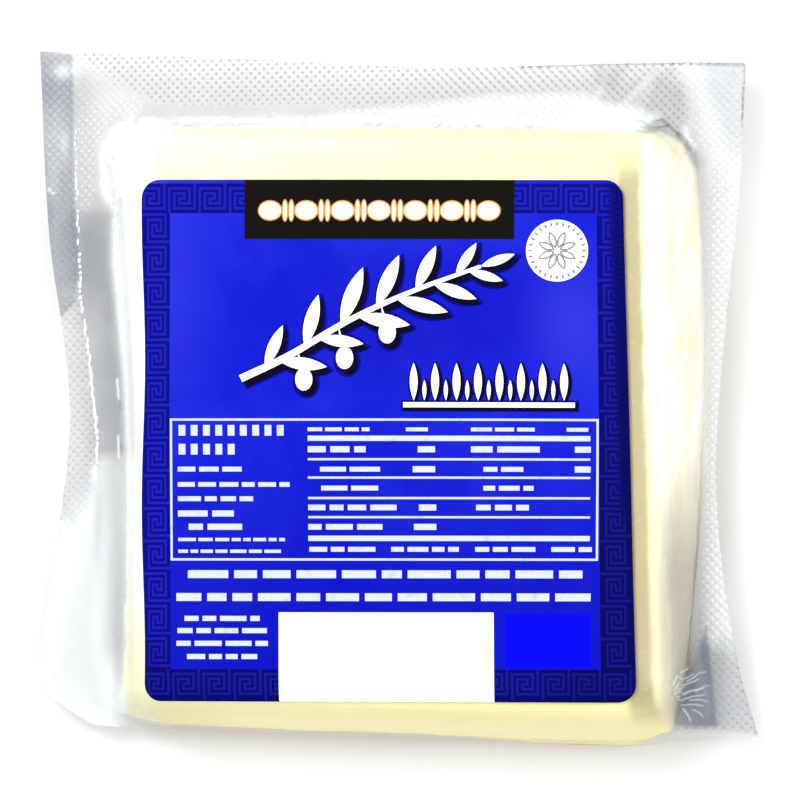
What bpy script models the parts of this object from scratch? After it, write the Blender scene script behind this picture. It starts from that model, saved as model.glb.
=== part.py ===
"""Feta block in a clear sealed pouch, lying on its back with the label up.

The pouch is one solid: the block's rounded body with the flat sealed margins of the film round it.
Along the bottom the film is only folded, so the body meets its edge there, and the two lower corners
of the pouch stick out as ears. The label is a thin sheet that follows the top of the pouch.
X runs to the label's right, Y to its top and Z up. The origin is under the middle of the pouch.
"""

import math
from collections import namedtuple

import bmesh
import bpy
from mathutils import Vector
from mathutils.bvhtree import BVHTree
from mathutils.geometry import intersect_line_line_2d

# The block inside the pouch: corners of its outline seen from above, in metres, clockwise
BLOCK_TOP_LEFT = Vector((-0.0554, 0.0537))
BLOCK_TOP_RIGHT = Vector((0.0603, 0.0510))
BLOCK_BOTTOM_RIGHT = Vector((0.0588, -0.0673))
BLOCK_BOTTOM_LEFT = Vector((-0.0524, -0.0648))
BLOCK_CORNERS = (BLOCK_TOP_LEFT, BLOCK_TOP_RIGHT, BLOCK_BOTTOM_RIGHT, BLOCK_BOTTOM_LEFT)
BLOCK_CORNER_RADII = (0.0070, 0.0115, 0.0110, 0.0080)
SIDE_BOWS = (0.0004, 0.0020, 0.0003, -0.0006)  # top, right, bottom, left: outward at mid side
STRAIGHT_BOWS = (0.0, 0.0, 0.0, 0.0)
BLOCK_HEIGHT = 0.0193
CROWN = 0.0012  # the middle of the top stands this much higher than its edge
SWELL = 0.00025  # slow unevenness of the top
SWELL_WAVES = ((4.1, 2.3, 0.5), (-1.7, 5.2, 0.0))  # each one's turns across and along the top, and its phase

# Unevenness of the outline: its size, and the waves round the block with their phases and weights
WOBBLE = 0.00035
WOBBLE_WAVES = ((5, 0.7, 1.0), (11, 2.1, 0.6))
LUMPS_ON_TOP = 0.5  # share of wobble and lumps that reaches the top
# Soft lumps of the outline: place, reach and push outward
OUTLINE_LUMPS = (
    (Vector((-0.0560, 0.0450)), 0.0080, 0.0028),
    (Vector((-0.0500, 0.0545)), 0.0050, 0.0010),
    (Vector((0.0590, -0.0580)), 0.0045, 0.0014),
    (Vector((0.0600, 0.0150)), 0.0130, 0.0008),
)

# The top's shoulder turns down by an angle, a straight wall goes on at that angle, and the film slopes
# off from its foot to the margin. Each is given for the right, top, left and bottom side
SHOULDER_RADIUS = (0.0065, 0.0046, 0.0090, 0.0050)
SHOULDER_TURN = tuple(math.radians(a) for a in (75, 80, 58, 72))
SHOULDER_CORNER_RADII = (0.0040, 0.0060, 0.0060, 0.0045)  # of the line where it starts, as the corners above
SLOPE_WIDTH = (0.0024, 0.0034, 0.0085, 0.0010)
SLOPE_HEIGHT = (0.0018, 0.0030, 0.0024, 0.0012)
SLOPE_AT_CORNERS = 0.0045  # the film stands further off the block round its corners
SLOPE_SHARE = 0.6  # the slope takes at most this share of the way to the pouch's edge
UPPER_SLOPE = ((0.45, 0.32), (0.0, 1.0))  # points of the upper slope: shares of its width and height
LOWER_SLOPE = ((0.0, 0.4), (0.5, 0.125))  # the same for the film's slope below the margin
FOOT_RADIUS = 0.0028
FOOT_TAPER = 0.0012
FOOT_TURNS = tuple(math.radians(a) for a in (0, 45, 90))

# The pouch's edge: each side is a smooth curve through these points
EDGE_TOP = ((-0.0724, 0.0683), (-0.0280, 0.0657), (0.0060, 0.0637), (0.0677, 0.0624))
EDGE_RIGHT = ((0.0696, 0.0606), (0.0685, 0.0350), (0.0645, -0.0150), (0.0682, -0.0500), (0.0724, -0.0664))
EDGE_BOTTOM = ((0.0724, -0.0664), (0.0562, -0.0669), (0.0470, -0.0683), (-0.0200, -0.0668), (-0.0560, -0.0655))
EDGE_LOWER_LEFT = ((-0.0560, -0.0655), (-0.0625, -0.0640), (-0.0700, -0.0592))
EDGE_LEFT = ((-0.0700, -0.0592), (-0.0713, -0.0500), (-0.0655, -0.0060), (-0.0700, 0.0320), (-0.0724, 0.0683))
EDGE_TIPS = ((-0.0724, 0.0683), (0.0691, 0.0620), (0.0724, -0.0664))  # its sharp corners
EDGE_STEPS = 8  # straight pieces between two of the points
WIDEST_MARGIN = 0.05  # no part of the edge is further from the block

MARGIN_HEIGHT = 0.0070  # middle of the sealed margin above the table
MARGIN_THICKNESS = 0.0008
MARGIN_STEPS = (0.0, 0.5, 1.0)  # shares of the way across it
MARGIN_WAVE = 0.0011
MARGIN_WAVES = ((3, 0.4, 1.0), (7, 1.9, 0.7))
EAR_DROOP = 0.0028
EAR_REACH = 0.0180

# The label, a sheet stuck on the pouch
LABEL_TOP_LEFT = Vector((-0.0472, 0.0411))
LABEL_TOP_RIGHT = Vector((0.0485, 0.0395))
LABEL_BOTTOM_RIGHT = Vector((0.0519, -0.0602))
LABEL_BOTTOM_LEFT = Vector((-0.0462, -0.0606))
LABEL_CORNERS = (LABEL_TOP_LEFT, LABEL_TOP_RIGHT, LABEL_BOTTOM_RIGHT, LABEL_BOTTOM_LEFT)
LABEL_CORNER_RADIUS = 0.0036
LABEL_THICKNESS = 0.00025
LABEL_GAP = 0.0003

# Fineness of the meshes
SIDE_STEPS = 16
CORNER_STEPS = 14
ROUNDING_STEPS = 3
TOP_SHRINKS = (0.93, 0.80, 0.62, 0.40, 0.16)
LABEL_INSETS = (0.0, 0.0012, 0.0030)
LABEL_SHRINKS = (0.86, 0.66, 0.42, 0.16)
FOOT_SHRINKS = (0.35, 0.70)
SHARP_ANGLE = math.radians(40)

# One place round the block: its outline there, where the shoulder starts, the way out, the vector to the
# pouch's edge, and the share of the way round
Station = namedtuple("Station", "outer start normal reach share")


def clear_scene():
    for old in list(bpy.data.objects):
        bpy.data.objects.remove(old, do_unlink=True)


def filleted_outline(corners, radii, bows):
    """Points and outward normals, clockwise, of a four-sided outline with round corners and bowed sides."""
    arcs = []
    for i, corner in enumerate(corners):
        before = (corners[i - 1] - corner).normalized()
        after = (corners[(i + 1) % 4] - corner).normalized()
        half_angle = before.angle(after) / 2
        centre = corner + (before + after).normalized() * radii[i] / math.sin(half_angle)
        arcs.append((centre, Vector((before.y, -before.x)), Vector((-after.y, after.x))))
    points, normals = [], []
    for i, (centre, first, last) in enumerate(arcs):
        turn = first.angle(last)
        for step in range(CORNER_STEPS + 1):
            angle = -turn * step / CORNER_STEPS
            normal = Vector((
                first.x * math.cos(angle) - first.y * math.sin(angle),
                first.x * math.sin(angle) + first.y * math.cos(angle),
            ))
            points.append(centre + normal * radii[i])
            normals.append(normal)
        start = centre + last * radii[i]
        next_centre = arcs[(i + 1) % 4][0]
        end = next_centre + last * radii[(i + 1) % 4]
        for step in range(1, SIDE_STEPS):
            share = step / SIDE_STEPS
            bow = bows[i] * math.sin(math.pi * share) ** 2
            points.append(start.lerp(end, share) + last * bow)
            normals.append(last)
    return points, normals


def waves_round(share, waves):
    """Sum of waves round the block, between -1 and 1, a given share of the way round."""
    height = sum(weight * math.sin(2 * math.pi * count * share + phase) for count, phase, weight in waves)
    return height / sum(weight for _, _, weight in waves)


def outline_push(point, share):
    """How far the block's unevenness pushes its outline out."""
    push = WOBBLE * waves_round(share, WOBBLE_WAVES)
    for place, reach, height in OUTLINE_LUMPS:
        push += height * math.exp(-(((point - place).length / reach) ** 2))
    return push


def by_side(values, normal):
    """Blends the values given for the right, top, left and bottom side by the way the outline faces."""
    right, top, left, bottom = values
    across = right if normal.x > 0 else left
    along = top if normal.y > 0 else bottom
    return across * normal.x**2 + along * normal.y**2


def smooth_curve(points):
    """Catmull-Rom curve through the points, which keeps its two ends."""
    knots = [Vector(p) for p in points]
    knots = [knots[0] * 2 - knots[1], *knots, knots[-1] * 2 - knots[-2]]
    curve = []
    for a, b, c, d in zip(knots, knots[1:], knots[2:], knots[3:]):
        for step in range(EDGE_STEPS):
            t = step / EDGE_STEPS
            curve.append((b * 2 + (c - a) * t + (a * 2 - b * 5 + c * 4 - d) * t**2
                          + (b * 3 - a - c * 3 + d) * t**3) / 2)
    return curve


def reach_to_edge(points, normals):
    """For each point of the block's outline, the vector out to the pouch's edge."""
    run = []
    for side in (EDGE_TOP, EDGE_RIGHT, EDGE_BOTTOM, EDGE_LOWER_LEFT, EDGE_LEFT):
        run.extend(smooth_curve(side))
    reaches = []
    for point, normal in zip(points, normals):
        hits = []
        for a, b in zip(run, run[1:] + run[:1]):
            hit = intersect_line_line_2d(point, point + normal * WIDEST_MARGIN, a, b)
            if hit is not None:
                hits.append((hit - point).length)
        reaches.append(normal * min(hits))
    for tip in map(Vector, EDGE_TIPS):
        nearest = min(range(len(points)), key=lambda i: (points[i] + reaches[i] - tip).length)
        reaches[nearest] = tip - points[nearest]
    return reaches


def margin_height(point, share):
    """Middle of the sealed margin above the table, with its slow waves and the droop of the ears."""
    height = MARGIN_HEIGHT + MARGIN_WAVE * waves_round(share, MARGIN_WAVES)
    for tip in (Vector(EDGE_RIGHT[-1]), Vector(EDGE_LEFT[0])):
        height -= EAR_DROOP * math.exp(-(((point - tip).length / EAR_REACH) ** 2))
    return height


def top_height(x, y):
    """Height of the top away from its rounded edge."""
    middle = (BLOCK_TOP_LEFT + BLOCK_BOTTOM_RIGHT) / 2
    half = (BLOCK_TOP_RIGHT - BLOCK_BOTTOM_LEFT) / 2
    across, along = (x - middle.x) / half.x, (y - middle.y) / half.y
    crown = CROWN * max(0.0, 1 - across**2) * max(0.0, 1 - along**2)
    swell = SWELL * sum(math.sin(across * a + along * b + phase) for a, b, phase in SWELL_WAVES)
    return BLOCK_HEIGHT + crown + swell


def slope_of_film(normal):
    """Width and height of the film's slope from the block's wall to the margin."""
    corner = (2 * normal.x * normal.y) ** 2
    width = by_side(SLOPE_WIDTH, normal) + SLOPE_AT_CORNERS * corner
    return width, by_side(SLOPE_HEIGHT, normal)


def shoulder_shape(normal, margin_level):
    """Radius and turn of the shoulder, and how far in from the outline it starts."""
    radius, turn = by_side(SHOULDER_RADIUS, normal), by_side(SHOULDER_TURN, normal)
    wall_foot = margin_level + MARGIN_THICKNESS / 2 + slope_of_film(normal)[1]
    wall_head = BLOCK_HEIGHT - radius * (1 - math.cos(turn))
    return radius, turn, radius * math.sin(turn) + (wall_head - wall_foot) / math.tan(turn)


def stations_round_block():
    """The places round the block, clockwise."""
    outline, normals = filleted_outline(BLOCK_CORNERS, BLOCK_CORNER_RADII, SIDE_BOWS)
    insets = []
    for i, corner in enumerate(BLOCK_CORNERS):
        along = (BLOCK_CORNERS[(i + 1) % 4] - corner).normalized()
        normal = Vector((-along.y, along.x))
        insets.append(normal * shoulder_shape(normal, MARGIN_HEIGHT)[2])
    inner_corners = [corner - insets[i - 1] - insets[i] for i, corner in enumerate(BLOCK_CORNERS)]
    starts, _ = filleted_outline(inner_corners, SHOULDER_CORNER_RADII, SIDE_BOWS)
    shares = [i / len(outline) for i in range(len(outline))]
    pushes = [n * outline_push(p, share) for p, n, share in zip(outline, normals, shares)]
    outline = [p + push for p, push in zip(outline, pushes)]
    starts = [p + push * LUMPS_ON_TOP for p, push in zip(starts, pushes)]
    reaches = reach_to_edge(outline, normals)
    return [Station(*values) for values in zip(outline, starts, normals, reaches, shares)]


def raised(point, height):
    return Vector((point.x, point.y, height))


def foot_section(station):
    """Points of the lower edge's rounding, from the flat foot up."""
    points = []
    for turn in FOOT_TURNS:
        inset = FOOT_TAPER + FOOT_RADIUS * (1 - math.sin(turn))
        points.append(raised(station.outer - station.normal * inset, FOOT_RADIUS * (1 - math.cos(turn))))
    return points


def film_section(station):
    """Points of the lower slope, the margin's two faces and the upper slope."""
    out = station.reach.normalized()
    reach = station.reach.length
    width, height = slope_of_film(station.normal)
    width = min(width, reach * SLOPE_SHARE)
    half_sheet = MARGIN_THICKNESS / 2
    points = []

    def add(distance, side, lift):
        place = station.outer + out * distance
        points.append(raised(place, margin_height(place, station.share) + side * (half_sheet + lift)))

    for across, rise in LOWER_SLOPE:
        room = margin_height(station.outer, station.share) - half_sheet - FOOT_RADIUS
        add(width * across, -1, min(height, room) * rise)
    for side, steps in ((-1, MARGIN_STEPS), (1, MARGIN_STEPS[::-1])):
        for step in steps:
            add(width + (reach - width) * step, side, 0.0)
    for across, rise in UPPER_SLOPE:
        add(width * across, 1, height * rise)
    return points


def shoulder_section(station, wall_foot):
    """Points of the wall and the shoulder, from the wall's foot to where the shoulder starts on the top."""
    level = margin_height(station.outer, station.share)
    radius, turn, width = shoulder_shape(station.normal, level)
    arc = []
    for step in range(ROUNDING_STEPS, -1, -1):
        angle = turn * step / ROUNDING_STEPS
        place = station.start.lerp(station.outer, radius * math.sin(angle) / width)
        height = top_height(station.start.x, station.start.y) - radius * (1 - math.cos(angle))
        arc.append(raised(place, height))
    return [wall_foot.lerp(arc[0], 0.5), *arc]


def pouch_rings():
    """Closed rings of points from the middle of the foot, out round the margin, to the middle of the top."""
    sections = []
    for station in stations_round_block():
        section = foot_section(station) + film_section(station)
        sections.append(section + shoulder_section(station, section[-1]))
    rings = [list(ring) for ring in zip(*sections)]
    foot, top = rings[0], rings[-1]
    middle = sum(foot, Vector()) / len(foot)
    inner_foot = [[middle.lerp(point, shrink) for point in foot] for shrink in FOOT_SHRINKS]
    inner_top = []
    for shrink in TOP_SHRINKS:
        flat = [middle.xy.lerp(point.xy, shrink) for point in top]
        inner_top.append([raised(p, top_height(p.x, p.y)) for p in flat])
    return inner_foot + rings + inner_top


def label_rings(pouch):
    """Closed rings of points from the middle of the label's back to the middle of its face."""
    points, normals = filleted_outline(LABEL_CORNERS, (LABEL_CORNER_RADIUS,) * 4, STRAIGHT_BOWS)
    corners = [v.co for v in pouch.data.vertices]
    surface = BVHTree.FromPolygons(corners, [f.vertices for f in pouch.data.polygons])
    middle = sum(LABEL_CORNERS, Vector((0, 0))) / 4
    flats = [[p - n * inset for p, n in zip(points, normals)] for inset in LABEL_INSETS]
    flats += [[middle + (p - middle) * s for p in flats[-1]] for s in LABEL_SHRINKS]

    def lifted(flat, gap):
        hits = (surface.ray_cast(raised(p, BLOCK_HEIGHT * 2), Vector((0, 0, -1)))[0] for p in flat)
        return [raised(hit, hit.z + gap) for hit in hits]

    back = [lifted(flat, LABEL_GAP) for flat in reversed(flats)]
    face = [lifted(flat, LABEL_GAP + LABEL_THICKNESS) for flat in flats]
    return back + face


def skin_through(rings):
    """One closed skin: a circle that is extruded from ring to ring, with a fan at each end."""
    bm = bmesh.new()
    place = bm.verts.layers.int.new("place")
    start = bmesh.ops.create_circle(bm, segments=len(rings[0]), radius=BLOCK_HEIGHT)["verts"]
    for i, vert in enumerate(start):
        vert[place] = i
        vert.co = rings[0][i]
    first_edges = list(bm.edges)
    edges = first_edges
    for ring in rings[1:]:
        new = bmesh.ops.extrude_edge_only(bm, edges=edges)["geom"]
        for vert in (g for g in new if isinstance(g, bmesh.types.BMVert)):
            vert.co = ring[vert[place]]
        edges = [g for g in new if isinstance(g, bmesh.types.BMEdge)
                 and abs(g.verts[0][place] - g.verts[1][place]) in (1, len(ring) - 1)]
    for rim in (first_edges, edges):
        cap = bmesh.ops.edgeloop_fill(bm, edges=rim)["faces"]
        bmesh.ops.poke(bm, faces=cap)
    bmesh.ops.triangulate(bm, faces=bm.faces)
    bmesh.ops.recalc_face_normals(bm, faces=bm.faces)
    return bm


def make_object(name, rings, material):
    mesh = bpy.data.meshes.new(name)
    bm = skin_through(rings)
    bm.to_mesh(mesh)
    bm.free()
    mesh.shade_smooth()
    mesh.set_sharp_from_angle(angle=SHARP_ANGLE)
    mesh.materials.append(material)
    thing = bpy.data.objects.new(name, mesh)
    bpy.context.scene.collection.objects.link(thing)
    return thing


def plain_material(name, colour, roughness):
    material = bpy.data.materials.new(name)
    material.use_nodes = True
    shader = material.node_tree.nodes["Principled BSDF"]
    shader.inputs["Base Color"].default_value = (*colour, 1)
    shader.inputs["Roughness"].default_value = roughness
    shader.inputs["Metallic"].default_value = 0.0
    return material


clear_scene()
pouch = make_object("pouch", pouch_rings(), plain_material("cheese_under_film", (0.93, 0.88, 0.66), 0.22))
make_object("label", label_rings(pouch), plain_material("printed_blue", (0.01, 0.01, 0.55), 0.35))
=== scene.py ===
"""Feta block sealed in a clear pouch, with a printed label on top. It lies on its back.

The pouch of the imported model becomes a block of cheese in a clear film, and its label a finer printed
sheet. Lengths are in metres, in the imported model's frame: X to the label's right, Y to its top, Z up.
"""

import math
import random

import bmesh
import bpy
import numpy as np
from mathutils import Matrix, Vector, noise
from mathutils.bvhtree import BVHTree


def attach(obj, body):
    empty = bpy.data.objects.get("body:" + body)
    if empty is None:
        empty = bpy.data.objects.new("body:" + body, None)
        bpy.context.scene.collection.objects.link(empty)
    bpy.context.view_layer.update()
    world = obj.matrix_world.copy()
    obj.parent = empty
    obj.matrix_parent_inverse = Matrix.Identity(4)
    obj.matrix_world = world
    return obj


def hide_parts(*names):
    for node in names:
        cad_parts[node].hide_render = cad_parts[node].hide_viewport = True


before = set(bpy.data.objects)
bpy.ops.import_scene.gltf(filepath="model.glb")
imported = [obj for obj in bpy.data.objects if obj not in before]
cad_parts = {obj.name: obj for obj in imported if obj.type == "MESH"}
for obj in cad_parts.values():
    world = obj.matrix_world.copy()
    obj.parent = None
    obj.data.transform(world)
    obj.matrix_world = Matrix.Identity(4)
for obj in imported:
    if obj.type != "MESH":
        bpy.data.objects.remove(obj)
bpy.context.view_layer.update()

MM = 0.001
DOWN = Vector((0, 0, -1))
UP = Vector((0, 0, 1))
RENDER_LEVELS = 2

# The pouch's edge, each side through points in millimetres, from its first corner to its second
EDGE_TOP = ((-72.4, 68.3), (-28, 65.7), (6, 63.7), (45, 63.2), (67.7, 62.4), (69.1, 62))
EDGE_BOTTOM = (
    (-70, -59.2), (-62.5, -64), (-56, -65.5), (-20, -66.8), (47, -68.3), (56.2, -66.9), (72.4, -66.4))
EDGE_LEFT = ((-70, -59.2), (-71.3, -50), (-65.5, -6), (-70, 32), (-72.4, 68.3))
EDGE_RIGHT = ((72.4, -66.4), (68.2, -50), (64.5, -15), (68.5, 35), (69.6, 60.6), (69.1, 62))

# Film
FILM_CELLS = (104, 98)  # coarsest squares of the film, across and along
FILM_SHEET = 0.25 * MM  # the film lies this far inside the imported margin's faces
SEALED = 0.9 * MM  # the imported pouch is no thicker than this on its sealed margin
TENTED = 4.6 * MM  # and no thicker than this where the film stands clear of the block
SHOULDER = 18.4 * MM  # nor than this outside the block's flat top
FOOT_GAP = 0.02 * MM  # the film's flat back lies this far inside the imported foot
FINEST_FACE = 0.3 * MM  # faces smaller than this square are not split
DIAMOND_PITCH = 1.75 * MM
DIAMOND_HEIGHT = 0.13 * MM
WAVE_HEIGHT = 0.35 * MM  # of the soft waves in its margins
RIM_RELIEF = 0.3  # share of the relief that is left at the film's edge
NET_LOW, NET_HIGH = -0.05, -0.85  # the net's grey diamonds, painted shade in the embossed dimples, lie where both of its waves are low
NET_TONE = 0.46
MOST_HAZE_AND_LIGHT = 0.96
BACK_HAZE_AND_LIGHT = 0.3  # share of the haze and painted light that the back shows
FILM_IOR = 1.28  # thin film reflects less than a thick wall
# Painted shade and painted glare over the clear film: the grey and the white of its haze
FILM_GREY = (0.125, 0.142, 0.18)
FILM_WHITE = (0.8, 0.835, 0.85)

# The seam of pinched film left of the block, in millimetres
SEAM = (
    (-64.6, 52), (-64.3, 46), (-63.5, 26.6), (-63.2, 19.6), (-62.1, 11.5), (-60.9, 2.6), (-59.8, -8.3),
    (-59.6, -16))
SEAM_KNOTS = 56

# Areas of the film: outline and softness of its edge in millimetres, how much greyer and whiter it is there,
# in painted shade and painted glare as well as its own haze, and how embossed, or None where the area leaves
# that alone
AREAS = (
    # Strip outside the seam
    (((-73, 69), (-65.7, 67.4), (-65.2, 52), (-64.6, 38), (-63.8, 26), (-64.6, 18), (-69, 14), (-73, 20)),
     0.5, 0.5, 0, 0.25),
    # Embossed film at the upper left
    (((-65.5, 68), (-50, 58), (-51.5, 54.8), (-55, 55), (-58.6, 52), (-60, 46), (-60, 40), (-62, 33),
     (-64.4, 32)), 0.9, 0, 0.06, 1),
    # Below that strip
    (((-67, 18), (-63.6, 20), (-60.2, -10), (-60.4, -17), (-64, -26), (-69, -24), (-69.5, 10)), 1.2, 0.14, 0,
     0.55),
    # Smooth gap left of the block, greyer with painted shade of the gap beneath it
    (((-64.6, 36), (-63.6, 26), (-63.2, 18), (-62.2, 11), (-61, 2.6), (-60, -8), (-59.4, -11.8),
     (-52, -11.8), (-52, 5), (-53, 20), (-53.5, 36)), 1.5, 0.3, 0, 0),
    # Glare at the lower left
    (((-58.2, -13.2), (-52.6, -13.2), (-52, -62), (-57, -65), (-61, -50), (-58.6, -30)), 2.2, 0.07, 0.16, 0),
    # Left ear, nearly white with painted glare
    (((-59, -14), (-62, -20), (-68, -30), (-74, -40), (-74, -64), (-56, -70), (-54, -60), (-57, -50),
     (-57, -30)), 3.2, 0, 0.5, 0),
    # Small fold at the upper right, greyer with painted shade
    (((39.5, 63.4), (46.8, 63.4), (43.7, 58.2), (40.5, 59.5)), 0.8, 0.17, 0, None),
    # Large fold beside it, greyer with painted shade
    (((50.2, 54.6), (52.5, 60.4), (55.5, 63), (57.6, 57), (58.9, 50.4), (57.7, 47.6), (49.2, 51)), 0.7, 0.15,
     0, None),
    # Right ear, darker with painted shade
    (((62.5, -45.6), (63, -52), (63.8, -59.4), (64.4, -64.4), (59.6, -64.5), (56.4, -64.3), (58, -60.4),
     (59.4, -55.5), (61, -50)), 0.6, 0.62, 0, 0),
    # Its darkest painted shade
    (((62.6, -48), (63, -52), (63.8, -59.4), (64.3, -64.2), (60.4, -64.2), (61.4, -56)), 1.2, 0.36, 0, 0),
    # Embossed end of the right ear
    (((64.6, -64.6), (64, -52), (65.6, -46), (70, -50), (74, -67)), 1, 0.18, 0.05, None),
    # Smooth gap right of the block
    (((60.7, 47), (63.6, 46), (62.9, 36), (62.7, 13), (61.9, -9.7), (61.6, -21), (60.4, -21), (60.2, 10),
     (60, 36)), 0.9, 0.1, 0.16, 0),
    # Upper right corner
    (((58, 70), (76, 70), (76, 44), (67, 46)), 2, 0.17, 0, None),
    # Right margin, whiter with painted light
    (((62.8, 46), (58.4, 62), (60, 70), (76, 70), (76, -54), (63, -48)), 2.2, 0, 0.3, None),
    # Smooth strip above the block
    (((-50.4, 57), (-33, 56.5), (-12.6, 55.5), (-12.6, 54), (-50.4, 53.6)), 0.3, 0.11, 0.06, 0),
    # Glow above the block
    (((-14, 54), (20, 57.5), (38, 57.5), (42, 55.5), (53, 53), (51, 49.5), (20, 51), (-10, 52)), 1.4, 0,
     0.42, None),
    # Its right end, over the block
    (((36, 55), (48, 55), (52, 52), (50, 48.6), (36, 50)), 1.4, 0, 0.3, None),
    # Lower edge, at the right
    (((56, -65.2), (64.6, -65.2), (73, -66), (73, -72), (54, -72)), 0.4, 0, 0.1, 0),
    # Lower edge, all along
    (((-58, -61), (-50, -63), (0, -64.5), (56, -64), (56, -72), (-60, -72)), 0.5, 0, 0, 0),
)

# Small soft patches of the film: centre and reach in millimetres, and how much greyer and whiter
SPOTS = (
    ((-70.4, 57), (1.2, 7), 0.1, 0), ((-67.4, 44), (0.9, 8), 0.1, 0), ((-69.6, 33), (0.8, 6), 0.08, 0),
    ((-67.5, 64.2), (1.9, 1.5), -0.3, 0.5), ((-69.9, 40.6), (0.5, 0.5), 0, 0.7),
    ((-69, 39.9), (0.5, 0.3), 0, 0.6), ((-67, 49.6), (1, 2.6), -0.16, 0.22),
    ((52, 61.6), (2.2, 1.8), 0.1, 0), ((67, 60.4), (1.2, 1.4), 0.1, 0), ((58.4, 49.6), (0.8, 2), 0, 0.2),
    ((-59.4, -25), (1, 8), 0.07, -0.2), ((-57.4, 12), (1.4, 8), 0.06, 0),
    ((-60.4, -15.6), (0.7, 1.6), 0, 0.5), ((-61.4, 2), (0.5, 0.5), 0, 0.5), ((-56.4, -54), (1.2, 5), 0, 0.12))

# The painted white glare on the film along the block's left and top, in millimetres: how far it reaches
# outwards and inwards
FRINGE_OUT, FRINGE_IN = 1.5, 2.55
FRINGE_INSIDE = 1  # its middle is this far inside the block's outline

# Creases of the film: line, half width and height in millimetres, and how much greyer and whiter, as painted
# shade and painted highlights on them
CREASES = (
    # Fine wrinkles of the right ear, with painted highlights
    (((58, -59.1), (59.9, -57.7), (61.9, -57.2)), 0.14, 0.16, 0, 0.58),
    (((58.2, -59.7), (60, -58.8), (62, -58.5)), 0.12, 0.14, 0, 0.47),
    (((58.4, -60.5), (60.2, -60.3), (61.8, -60.6)), 0.12, 0.14, 0, 0.4),
    (((57.9, -58.5), (59.3, -56.5), (61, -55.5)), 0.13, 0.16, 0, 0.5),
    (((58.5, -61.2), (59.2, -62.5), (59.5, -63.5)), 0.14, 0.16, 0, 0.58),
    (((58, -57.7), (58.8, -55.7), (60.2, -54.5)), 0.12, 0.14, 0, 0.4),
    (((59.6, -59.5), (61.4, -59.4), (62.6, -59.8)), 0.12, 0.12, 0, 0.4),
    (((57.8, -56.7), (58.4, -54.5), (59.4, -53.5)), 0.14, 0.12, 0, 0.43),
    (((60, -61.3), (61.2, -61.9), (61.8, -62.7)), 0.12, 0.12, 0, 0.4),
    (((59.4, -55.9), (61.2, -54.3), (62.2, -54.1)), 0.13, 0.12, 0, 0.43),
    (((60.6, -57.9), (62, -56.8), (62.9, -56.7)), 0.12, 0.12, 0, 0.36),
    # Crinkles at the block's upper right corner, with painted highlights
    (((48.8, 52.2), (50.6, 51.6), (52.6, 50.2), (55, 50.9)), 0.26, -0.2, 0.7, 0),
    (((52, 51.6), (54, 52.2), (55.4, 50.9), (57.4, 49)), 0.24, -0.2, 0.6, 0),
    (((50.4, 49.9), (52.2, 49), (53.6, 49.6)), 0.2, -0.1, 0.45, 0),
    (((57.2, 49.2), (58.6, 47.8), (59.2, 46.2)), 0.45, -0.2, 0.6, 0),
    (((58.2, 50.4), (59, 48.4), (60, 47)), 0.5, 0.1, 0, 0.25),
    (((60.1, 45.2), (61.2, 43.4)), 0.9, 0, 0.32, 0),
    # Edges of the folds at the top, with painted shade
    (((45.4, 54.8), (49.4, 58.6), (52.2, 62)), 0.7, 0.45, 0, 0.1),
    (((39.2, 54.6), (41.4, 58.8), (42.4, 62.6)), 0.6, 0.35, 0, 0.1),
    (((-51.4, 56.6), (-56, 61), (-60.4, 66.4)), 0.8, 0.35, 0, 0),
    (((-59, 48), (-62, 53), (-64, 60)), 0.7, 0.3, 0, 0),
    # Soft ridges of the left ear, with painted shade
    (((-58.5, -50.9), (-57.6, -56), (-53.9, -60.3)), 0.8, 0.2, 0.02, 0),
    (((-68, -18), (-63, -26), (-58, -33)), 1.1, 0.2, 0.03, 0),
    (((-66, -40), (-61, -47), (-56, -52)), 1.2, 0.16, 0, 0),
    # Nicks, and bright marks of painted highlight
    (((-50.2, 54), (-49.6, 52.1)), 0.34, -0.2, 0.75, 0),
    (((-55.3, 2.8), (-54.9, -1.1)), 0.26, 0.16, 0, 0.8),
    (((-54.6, -1), (-54.5, -3)), 0.22, 0, 0.5, 0),
    (((-55, -8.4), (-54.8, -12.6)), 0.26, 0.16, 0, 0.8),
    (((-54.3, -10), (-54.2, -12.2)), 0.22, 0, 0.5, 0),
    (((-55, 46.2), (-53.8, 45.2)), 0.28, 0, 0.4, 0),
    (((-52.9, 37.8), (-52.7, 37.2)), 0.32, 0, 0.35, 0),
    (((-4.2, 54.2), (-0.6, 54.2)), 0.22, 0, 0.45, 0),
    (((2.6, 54), (4.8, 54)), 0.22, 0, 0.45, 0),
    (((7.4, 53.8), (9.8, 53.8)), 0.22, 0, 0.45, 0),
    (((-68.8, -55.2), (-68.8, -55.8)), 0.3, 0, 0.35, 0),
    (((-57.8, -49.3), (-56.2, -49.3)), 0.25, 0, 0.3, 0),
)
# The film is meshed finely in these boxes, for their small creases
FINE_PLACES = (((57.8, -64.4), (64.6, -53)), ((47, 46), (61, 54.6)))

# Cheese
CHEESE_GAP = 0.32 * MM  # between the cheese and the film
CHEESE_GRAIN = 0.7 * MM  # size of its mesh
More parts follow.
